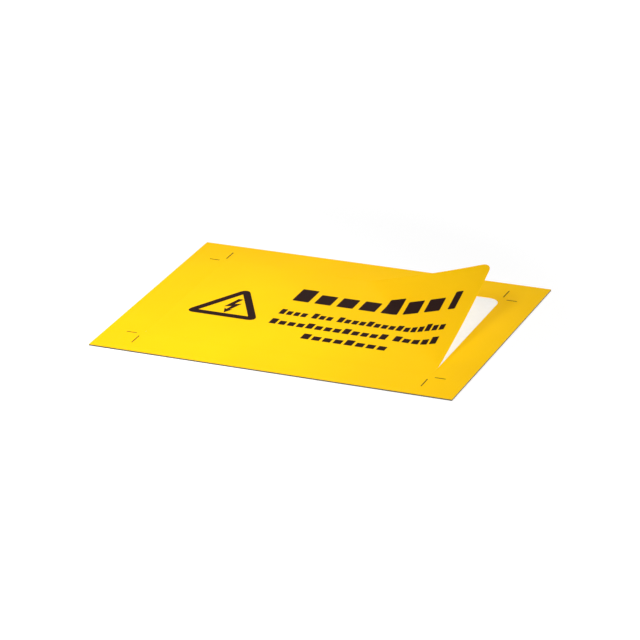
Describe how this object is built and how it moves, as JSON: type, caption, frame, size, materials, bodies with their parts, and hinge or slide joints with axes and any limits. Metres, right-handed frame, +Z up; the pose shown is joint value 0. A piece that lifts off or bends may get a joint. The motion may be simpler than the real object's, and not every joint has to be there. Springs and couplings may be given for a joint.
{
  "type": "high voltage warning sign",
  "caption": "Yellow adhesive warning label with a lightning-bolt triangle, cut into a film sheet on a white release liner, its back right corner peeled up.",
  "frame": {"origin": "middle of the release liner's underside", "axes": "+X along the print, left to right; +Y from the print's foot to its head; +Z up out of the printed face"},
  "size_m": [0.21, 0.148, 0.0224],
  "materials": {
    "release_liner": "smooth coated paper",
    "film_border": "soft gloss",
    "label_film": "soft gloss",
    "print": "satin ink"
  },
  "bodies": {
    "root": {"release_liner": "release_liner", "film_border": "film_border", "label_film": "label_film", "printed_symbol": "print", "printed_heading": "print", "printed_rows": "print", "printed_cut_marks": "print"}
  },
  "joints": []
}
